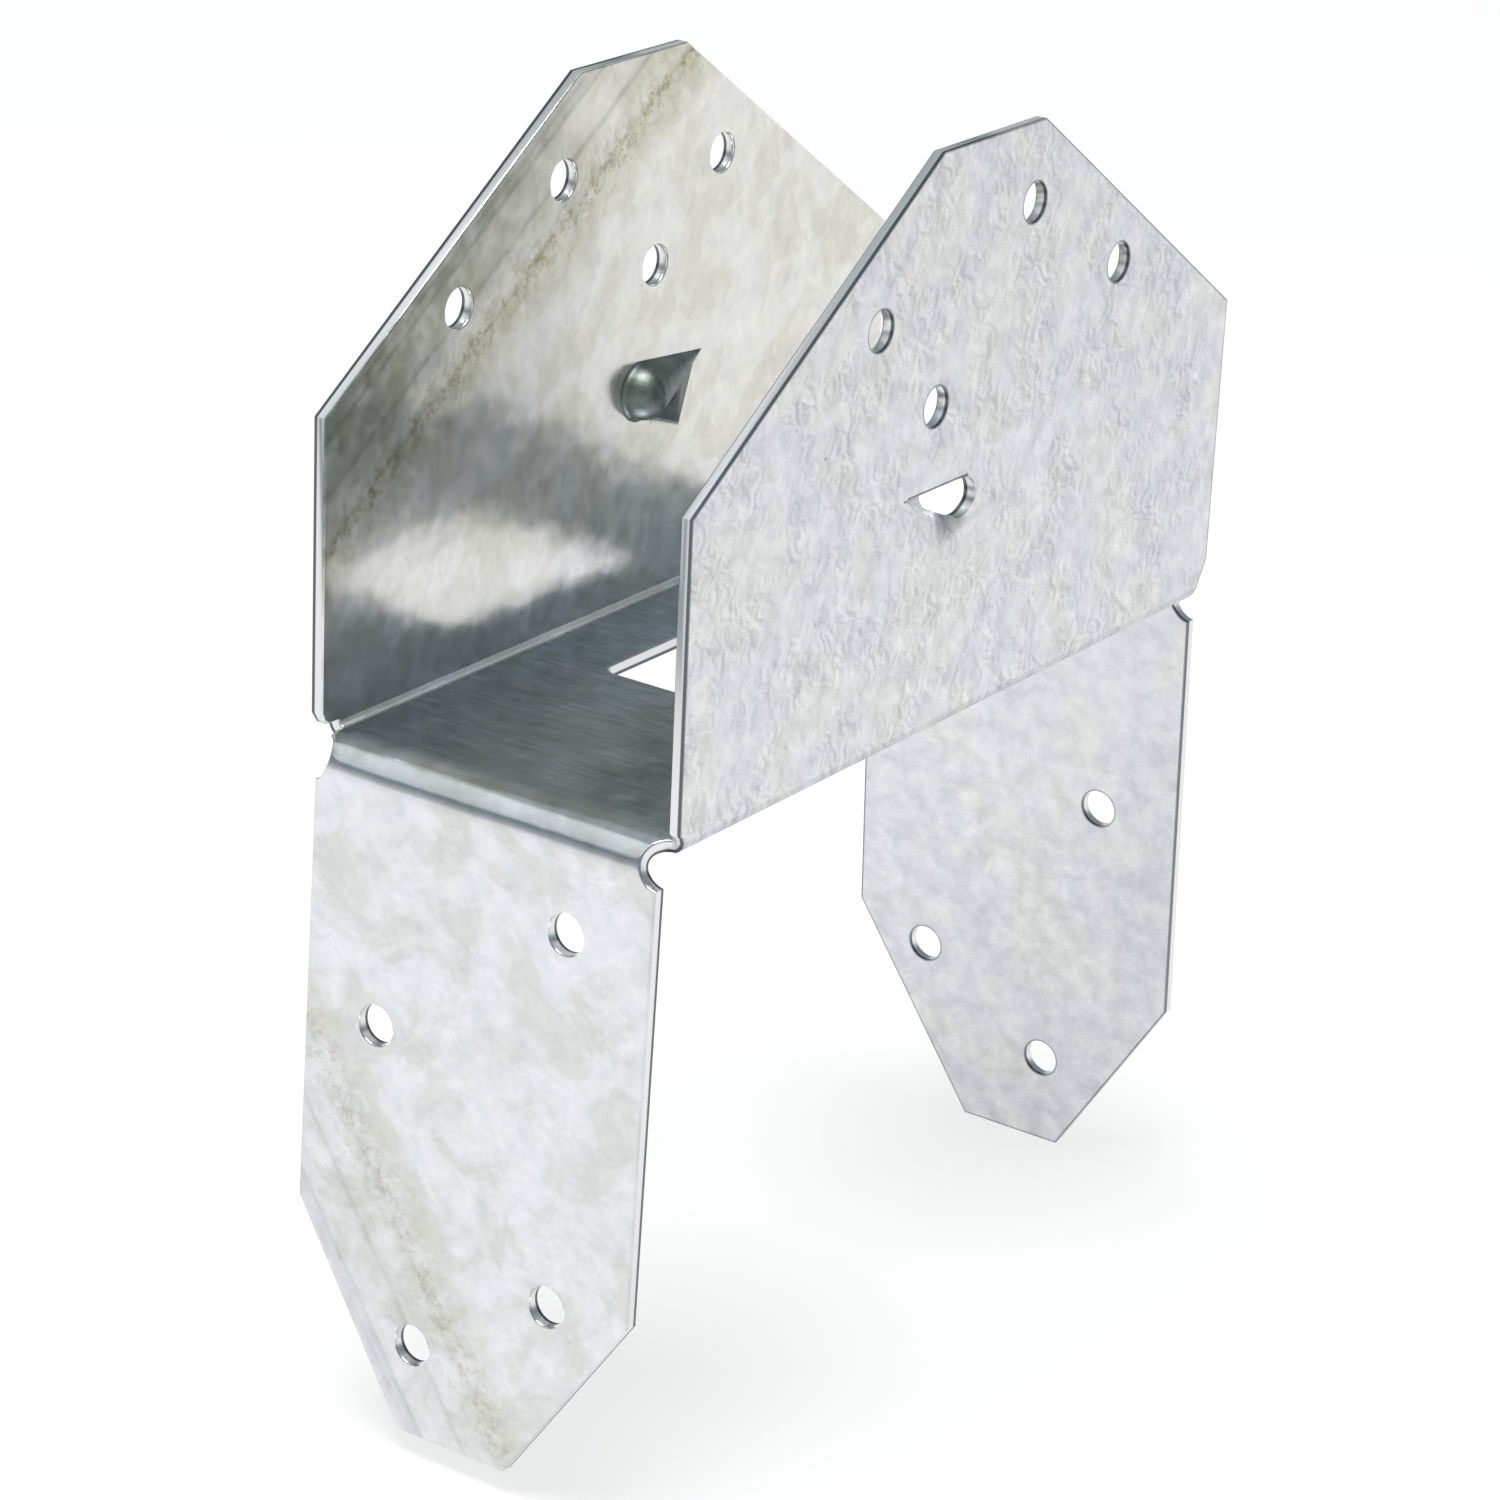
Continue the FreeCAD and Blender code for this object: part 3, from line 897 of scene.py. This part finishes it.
    def dress(self, tie: Object) -> None:
        """Give the tie its finishes, in the order of their slots.

        Args:
            tie: the tie's object.
        """
        under = ZincCoat(
            "galvanised_steel_crinkled_zinc",
            shift=0.0,
            tones=("#d1d2d5", "#e1e1e4", "#f1f1f2"),
            tints=("#f3f5f6", "#f7f7fa", "#f8f8f5"),
            bloom=Speckle(11.0, 3.0, 0.55, 0.9),
            rib_shade_strength=0.24,
            rough=(0.2, 0.32),
            burr_shaded=True,
        )
        upper = ZincCoat(
            "galvanised_steel_smooth_zinc",
            shift=UPPER_SHIFT,
            tones=("#e6e7e8", "#f0f0f1", "#f8f8f8"),
            tints=("#fafafd", "#f6f6f7", "#ededea"),
            bloom=Speckle(8.5, 3.0, 0.55, 0.9),
            rib_shade_strength=0.06,
            rough=(0.14, 0.2),
            rolled=True,
        )
        # stretched zinc: rougher, and its dark tones are painted shade on the scoops
        pressed = ZincCoat(
            "galvanised_steel_stretched_zinc_painted_shade",
            shift=UPPER_SHIFT,
            tones=("#6c7573", "#828b8a", "#9ba3a3"),
            tints=("#f3f6fa", "#f8f8fa", "#f2f2ea"),
            bloom=Speckle(5.0, 3.0, 0.55, 0.9),
            rib_shade_strength=0.3,
            rough=(0.42, 0.56),
        )
        for finish in (under, upper, CutEdge(), pressed):
            tie.data.materials.append(finish.make())

    def seat_in_frame(self, tie: Object) -> None:
        """Put the tie in place of its solid and let it ride on the one body.

        Args:
            tie: the tie's object.
        """
        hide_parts(self.node)
        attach(tie, "root")


@dataclass(frozen=True)
class Speckle:
    """A random pattern: its size in millimetres, and how fine, rough and swirled it is."""

    size: float
    detail: float = 2.0
    roughness: float = 0.5
    swirl: float = 0.0

    def at(self, place: Node) -> dict:
        """Give the inputs of a noise node that draws the pattern.

        Args:
            place: the place on the blank, in millimetres.

        Returns:
            the inputs by name.
        """
        return {
            "Vector": place,
            "Scale": 1 / self.size,
            "Detail": self.detail,
            "Roughness": self.roughness,
            "Distortion": self.swirl,
        }


@dataclass(frozen=True)
class ZincCoat:
    """Hot-dip galvanised steel: a thin bright zinc skin, mottled where its crystals lie at different angles.

    Sizes are in millimetres on the flat blank, so that the marks run on round the folds. Crystals have
    ribs finer than these, which the render couldn't show. A range has the two ends that are read, then
    what they are turned to where that isn't 0 and 1.
    """

    name: str
    shift: float  # where this side of the sheet lies in the UV map
    tones: tuple[str, str, str]  # dark, middle and light zinc
    tints: tuple[str, str, str]  # cool, plain and warm bloom, laid over the tones
    bloom: Speckle
    rib_shade_strength: float  # how dark the painted shade on the shaded side of the fine crystal ribs is
    rough: tuple[float, float]
    burr_shaded: bool = False  # whether this side has a painted dark line of shade along its cut edges, where burrs stand
    rolled: bool = False  # whether it has the coil's rolling streaks, and the film on the far upright

    mottle = Speckle(2.6, 5.0, 0.6, 0.3)
    mottle_stops = (0.3, 0.5, 0.7)
    mottle_bump = (0.3, 0.02)  # strength, and depth
    bloom_stops = (0.42, 0.5, 0.57)
    specks = (12.0, 0.26, 0.62)  # spacing and radius of the dark pinholes in the zinc, and their shade
    rib = Speckle(2.1, 2.0, 0.55, 1.5)
    rib_step = (0.12, 0.42, 0.0)  # from the lit side of a rib to its shaded side
    rib_lean = (-0.16, 0.1)  # range of the step, from shaded to lit
    rib_patch = Speckle(6.0)
    rib_patch_range = (0.38, 0.6, 0.25, 1.0)
    calm = (38.0, 48.0, 1.0, 0.18)  # along the blank, where the ribs fade towards the rear flange
    wave = Speckle(9.0)
    wave_depth = 0.2
    # painted shade along the cut edges, where burrs stand
    burr_shade_colour = "#b0b3b5"
    burr_shade_at = 0.04  # drop of the edge at which the line is full
    fold_strip = (20.2, 0.8)  # the rafter folds' middles, and half their width
    fold_rough = 0.3
    film_from = (-21.0, -36.0)  # across the blank, where the film grows up the far upright
    film_colour = "#fffdf5"
    film_rough = 0.03
    film_oxide = 0.16  # share of the film that is dull zinc oxide, not metal
    bare_colour = "#f4f5f6"
    dish_depth = 1.3
    dish_film = 0.02  # least share of film on the dished part, which keeps the dish off the near upright
    dish_up = (-50.0, -20.0)
    dish_back = (-28.0, 22.0)
    grain_size = (7.0, 0.55)  # length and spacing of the seat's grain; the real one is finer
    grain = Speckle(1.0, 3.0, 0.6)
    grain_range = (0.38, 0.64, 1.0, 0.76)
    seat = (19.2, 42.6)  # half its width, and half its length
    slope = (0.8226, 0.5686, 0.0)  # the way in from the pair of slopes that the streaks run along
    slope_edge = -67.3  # where the slopes' edges lie, that way
    wander = Speckle(5.0, 4.0, 0.6)
    wander_width = 0.8
    worn = (0.35, 0.6, 0.3, 0.6)  # range of how strongly the streaks show
    filmed = (0.0, 1.0, 0.95, 1.6)  # streaks and flecks are stronger where there is film
    streak_width = 16.0
    streak_stops = (
        (0.0, "#e9e9ea"), (0.05, "#c9cacb"), (0.085, "#dcdddb"), (0.125, "#c2c4c0"),
        (0.15, "#ecece9"), (0.26, "#f4f4f0"), (0.36, "#efefea"), (0.40, "#cdcdc8"),
        (0.43, "#eeeeea"), (0.53, "#f6f6f2"), (0.61, "#f0f0e8"), (0.655, "#d8d7c6"),
        (0.69, "#e9e8dc"), (0.80, "#efeee4"), (0.89, "#f4f4ec"), (1.0, "#ffffff"),
    )
    fleck = Speckle(1.5, 4.0, 0.8, 0.1)
    fleck_range = (0.46, 0.64)
    fleck_colour = "#aaa472"
    fleck_stops = (
        (0.36, "#000000"), (0.6, "#8c8c8c"), (0.68, "#bcbcbc"), (0.78, "#787878"), (0.98, "#000000"),
    )
    stain = Speckle(3.0, 4.0)
    stain_range = (0.25, 0.6)
    stain_colour = "#bfc4b8"
    stain_front = (-6.0, -30.0)  # along the blank
    stain_beside = (-57.5, -63.5)  # towards the slope

    def make(self) -> Material:
        """Make the material.

        Returns:
            the material.
        """
        painter = ZincPainter(self)
        painter.bloom()
        painter.ribs()
        painter.scuff()
        if self.burr_shaded:
            painter.paint_burr_shade()
        if self.rolled:
            painter.streaks()
            painter.stain()
            painter.seat_grain()
            painter.dish()
        return painter.finish()


class ZincPainter:
    """Puts a zinc finish together, one layer over another."""

    def __init__(self, coat: ZincCoat) -> None:
        """Start a material with mottled, faintly wavy zinc.

        Args:
            coat: the finish.
        """
        self.coat = coat
        self.material = bpy.data.materials.new(coat.name)
        self.add = add = partial(add_node, clear_tree(self.material))
        middle = (-(UV_MIDDLE[0] + coat.shift) * UV_SPAN, -UV_MIDDLE[1] * UV_SPAN, 0.0)
        flat = add("UVMap", uv_map="blank")
        self.place = add("Mapping", {"Vector": flat, "Location": middle, "Scale": (UV_SPAN,) * 3})
        ways = add("SeparateXYZ", [self.place])
        self.across, self.along = ways.outputs["X"], ways.outputs["Y"]
        self.mottle = add("TexNoise", coat.mottle.at(self.place))
        self.colour = set_ramp(add("ValToRGB", [self.mottle]), zip(coat.mottle_stops, coat.tones))
        low, _, high = coat.mottle_stops
        self.roughness = add("MapRange", [self.mottle, low, high, *coat.rough])
        self.metal = 1.0
        wave = add("TexNoise", coat.wave.at(self.place))
        self.normal = add("Bump", {"Height": wave, "Strength": 1.0, "Distance": coat.wave_depth * MM})
        self.film: Node | None = None  # share of the film, made with the streaks
        self.inside: Node | None = None  # how far a place lies in from the slopes, made with the streaks

    def lay(self, share: float | Node, tint: tuple | Node) -> None:
        """Lay a tint over the colour so far."""
        self.colour = self.add("Mix", {0: share, 6: self.colour, 7: tint}, **OVER)

    def bloom(self) -> None:
        """Lay soft cool and warm patches over the colour, and a few dark pinholes."""
        add, coat = self.add, self.coat
        cloud = add("TexNoise", coat.bloom.at(self.place))
        self.lay(1.0, set_ramp(add("ValToRGB", [cloud]), zip(coat.bloom_stops, coat.tints)))
        spacing, radius, shade = coat.specks
        specks = add("TexVoronoi", {"Vector": self.place, "Scale": 1 / spacing})
        self.lay(1.0, add("MapRange", [specks, 0.5 * radius / spacing, radius / spacing, shade, 1.0]))

    def ribs(self) -> None:
        """Paint the shade of the crinkled ribs of the zinc crystals into the colour: one side of each rib is
        darkened, the other is left light.
        """
        add, coat = self.add, self.coat
        aside = add("Mapping", {"Vector": self.place, "Location": coat.rib_step})
        sides = [add("TexNoise", coat.rib.at(place)) for place in (self.place, aside)]
        lean = add("Math", sides, operation="SUBTRACT")
        shade = add("MapRange", [lean, *coat.rib_lean, 1 - coat.rib_shade_strength, 1.0])
        calm = add("MapRange", [self.along, *coat.calm])
        patch = add("TexNoise", coat.rib_patch.at(self.place))
        patchy = add("MapRange", [patch, *coat.rib_patch_range])
        self.lay(add("Math", [calm, patchy], **TIMES), shade)

    def scuff(self) -> None:
        """Roughen the two rafter folds, which the press brake scuffed."""
        add, coat = self.add, self.coat
        out = add("Math", [self.across], operation="ABSOLUTE")
        on_fold = add("Math", [out, *coat.fold_strip], operation="COMPARE")
        self.roughness = add("Math", [on_fold, coat.fold_rough, self.roughness], operation="MULTIPLY_ADD")

    def paint_burr_shade(self) -> None:
        """Paint a dark line of shade along the cut edges, where burrs stand."""
        edge = self.add("Attribute", attribute_name="drop", attribute_type="GEOMETRY")
        near_edge = self.add("MapRange", [edge.outputs["Fac"], 0.0, self.coat.burr_shade_at])
        self.lay(near_edge, linear(self.coat.burr_shade_colour))

    def streaks(self) -> None:
        """Lay the coil's rolling streaks beside one pair of slopes, then the film, then brown flecks."""
        add, coat = self.add, self.coat
        self.film = film = add("MapRange", [self.across, *coat.film_from], **SOFTLY)
        self.metal = add("MapRange", [film, 0.0, 1.0, 1.0, 1 - coat.film_oxide])
        self.roughness = add("Math", [film, coat.film_rough, self.roughness], operation="MULTIPLY_ADD")
        straight = add("VectorMath", [self.place, coat.slope], operation="DOT_PRODUCT")
        wander = add("TexNoise", coat.wander.at(self.place))
        self.inside = add("Math", [wander, coat.wander_width, straight], operation="MULTIPLY_ADD")
        edges = (coat.slope_edge, coat.slope_edge + coat.streak_width)
        strip = add("MapRange", [self.inside, *edges])
        worn = add("MapRange", [wander, *coat.worn])
        stronger = add("MapRange", [film, *coat.filmed])
        shown = add("Math", [worn, stronger], use_clamp=True, **TIMES)
        self.lay(shown, set_ramp(add("ValToRGB", [strip]), coat.streak_stops))
        veil = {0: film, 6: linear(coat.bare_colour), 7: linear(coat.film_colour)}
        self.lay(1.0, add("Mix", veil, data_type="RGBA"))
        ripe = add("MapRange", [add("TexNoise", coat.fleck.at(self.place)), *coat.fleck_range])
        beside = set_ramp(add("ValToRGB", [strip]), coat.fleck_stops)
        amount = add("Math", [add("Math", [ripe, beside], **TIMES), stronger], use_clamp=True, **TIMES)
        self.lay(amount, linear(coat.fleck_colour))

    def stain(self) -> None:
        """Lay the grey-green stain along the far upright's front slope, down to its shoulder."""
        add, coat = self.add, self.coat
        forwards = add("MapRange", [self.along, *coat.stain_front], **SOFTLY)
        beside = add("MapRange", [self.inside, *coat.stain_beside], **SOFTLY)
        there = add("Math", [add("Math", [forwards, beside], **TIMES), self.film], **TIMES)
        thick = add("MapRange", [add("TexNoise", coat.stain.at(self.place)), *coat.stain_range])
        self.lay(add("Math", [there, thick], **TIMES), linear(coat.stain_colour))

    def seat_grain(self) -> None:
        """Draw the fine grain across the seat, where the brake's blade slid."""
        add, coat = self.add, self.coat
        length, width = coat.grain_size
        drawn_out = add("Mapping", {"Vector": self.place, "Scale": (1 / length, 1 / width, 1.0)})
        shade = add("MapRange", [add("TexNoise", coat.grain.at(drawn_out)), *coat.grain_range])
        ways = zip((self.across, self.along), coat.seat)
        on_seat = [add("Math", [way, 0.0, half], operation="COMPARE") for way, half in ways]
        self.lay(add("Math", on_seat, **TIMES), shade)

    def dish(self) -> None:
        """Dish the far upright a little over its fold, towards the rear, which bends what it mirrors."""
        add, coat = self.add, self.coat
        upwards = add("MapRange", [self.across, *coat.dish_up], **SOFTLY)
        rearwards = add("MapRange", [self.along, *coat.dish_back], **SOFTLY)
        shape = {
            "Strength": add("Math", [self.film, coat.dish_film], operation="GREATER_THAN"),
            "Height": add("Math", [upwards, rearwards], **TIMES),
            "Distance": coat.dish_depth * MM,
        }
        self.normal = add("Bump", {**shape, "Normal": self.normal})

    def finish(self) -> Material:
        """Join the layers in the metal's shader.

        Returns:
            the material.
        """
        strength, depth = self.coat.mottle_bump
        crystals = {"Height": self.mottle, "Strength": strength, "Distance": depth * MM}
        looks = {
            "Base Color": self.colour,
            "Metallic": self.metal,
            "Roughness": self.roughness,
            "Normal": self.add("Bump", {**crystals, "Normal": self.normal}),
        }
        self.add("OutputMaterial", {"Surface": self.add("BsdfPrincipled", looks)})
        return self.material


@dataclass(frozen=True)
class CutEdge:
    """Sheared steel edge: bright where the punch rubbed it, dull grey where the sheet then broke."""

    rubbed: str = "#e2e3e5"
    broken: str = "#63676a"
    roughness: float = 0.27
    depths: tuple[float, float] = (0.27, 0.36)  # through the sheet, where the break ends and the rub starts

    def make(self) -> Material:
        """Make the material.

        Returns:
            the material.
        """
        material = bpy.data.materials.new("mild_steel_sheared_edge")
        add = partial(add_node, clear_tree(material))
        through = add("Attribute", attribute_name="through", attribute_type="GEOMETRY")
        stops = zip(self.depths, (self.broken, self.rubbed))
        tone = set_ramp(add("ValToRGB", [through.outputs["Fac"]]), stops)
        looks = {"Base Color": tone, "Metallic": 1.0, "Roughness": self.roughness}
        add("OutputMaterial", {"Surface": add("BsdfPrincipled", looks)})
        return material


class Studio:
    """A white studio: soft light from all round, two soft lamps, a pale floor and the camera."""

    white = (1, 1, 1, 1)
    room = (  # by height: a white cove, a darker band of room above it, and a brighter ceiling
        (0.03, "#ffffff"), (0.1, "#c6cacb"), (0.22, "#a7aeb0"),
        (0.34, "#7b8a8f"), (0.5, "#7b8a8f"), (0.75, "#a0a8aa"),
    )
    lamps = (  # name, place and size in metres, and power
        ("overhead_softbox", (0.0, -0.2, 1.0), 0.6, 13.0),
        ("front_left_softbox", (-0.55, -0.5, 0.72), 0.8, 0.75),
    )
    floor_level = -67.76 * MM
    floor_radius = 4.0
    floor_sides = 64
    floor_colour = "#fafafa"
    floor_glow = 0.74  # share of the floor that is seen as plain white, so that its shadow stays faint
    floor_fade = (0.3, 0.8)  # metres from the tie over which the whole floor comes to be seen as plain white
    lens = 116.746
    sensor = 36.0
    eye = (249.332, -366.351, 168.560)
    turn = (68.16195, -2.41153, 35.52458)

    def light(self) -> None:
        """Set the room's light, which the camera sees as plain white, and the two lamps."""
        world = bpy.data.worlds.new("white_cove")
        add = partial(add_node, clear_tree(world))
        height = add("SeparateXYZ", [add("TexCoord").outputs["Generated"]]).outputs["Z"]
        room = set_ramp(add("ValToRGB", [height]), self.room)
        glow, white = (add("Background", [colour, 1.0]) for colour in (room, self.white))
        seen = add("MixShader", [add("LightPath").outputs["Is Camera Ray"], glow, white])
        add("OutputWorld", {"Surface": seen})
        bpy.context.scene.world = world
        for name, place, size, energy in self.lamps:
            lamp = bpy.data.lights.new(name, "AREA")
            lamp.shape = "DISK"
            lamp.size = size
            lamp.energy = energy
            holder = bpy.data.objects.new(name, lamp)
            holder.location = place
            holder.rotation_euler = (-holder.location).to_track_quat("-Z", "Y").to_euler()
            bpy.context.scene.collection.objects.link(holder)

    def paper(self) -> Material:
        """Make the floor's matt white paper, which spreads light evenly and mirrors nothing.

        Returns:
            the material.
        """
        material = bpy.data.materials.new("white_paper_floor")
        add = partial(add_node, clear_tree(material))
        paper = add("BsdfDiffuse", {"Color": linear(self.floor_colour), "Roughness": 0.0})
        white = add("Emission", {"Color": self.white, "Strength": 1.0})
        path = add("LightPath").outputs
        seen = path["Is Camera Ray"]
        for ray in ("Is Glossy Ray", "Is Transmission Ray"):
            seen = add("Math", [seen, path[ray]], operation="MAXIMUM")
        far = add("VectorMath", [add("TexCoord").outputs["Object"]], operation="LENGTH")
        glow = add("MapRange", [far, *self.floor_fade, self.floor_glow, 1.0], **SOFTLY)
        share = add("Math", [seen, glow], **TIMES)
        add("OutputMaterial", {"Surface": add("MixShader", [share, paper, white])})
        return material

    def lay_floor(self) -> None:
        """Lay a wide pale floor just under the tie's lowest tip."""
        bm = bmesh.new()
        bmesh.ops.create_circle(bm, cap_ends=True, segments=self.floor_sides, radius=self.floor_radius)
        bmesh.ops.translate(bm, vec=(0, 0, self.floor_level), verts=bm.verts[:])
        mesh = bpy.data.meshes.new("floor")
        bm.to_mesh(mesh)
        bm.free()
        floor = bpy.data.objects.new("floor", mesh)
        bpy.context.scene.collection.objects.link(floor)
        mesh.materials.append(self.paper())

    def place_camera(self) -> None:
        """Place the camera as the photograph has it."""
        data = bpy.data.cameras.new("camera")
        data.sensor_width = self.sensor
        data.lens = self.lens
        data.clip_start = 0.01
        camera = bpy.data.objects.new("camera", data)
        camera.location = Vector(self.eye) * MM
        camera.rotation_euler = Euler([math.radians(a) for a in self.turn])
        bpy.context.scene.collection.objects.link(camera)
        bpy.context.scene.camera = camera


def main() -> None:
    """Build the tie and its studio in order."""
    logging.basicConfig(level=logging.INFO, format="%(message)s")
    bpy.context.scene.view_settings.view_transform = "Standard"
    tie = RafterTie(Blank())
    sheet = tie.build()
    tie.dress(sheet)
    tie.seat_in_frame(sheet)
    log.info("%s: %d faces", sheet.name, len(sheet.data.polygons))
    studio = Studio()
    studio.light()
    studio.lay_floor()
    studio.place_camera()
    log.info("studio: floor at %.4f m", studio.floor_level)


if __name__ == "__main__":
    main()
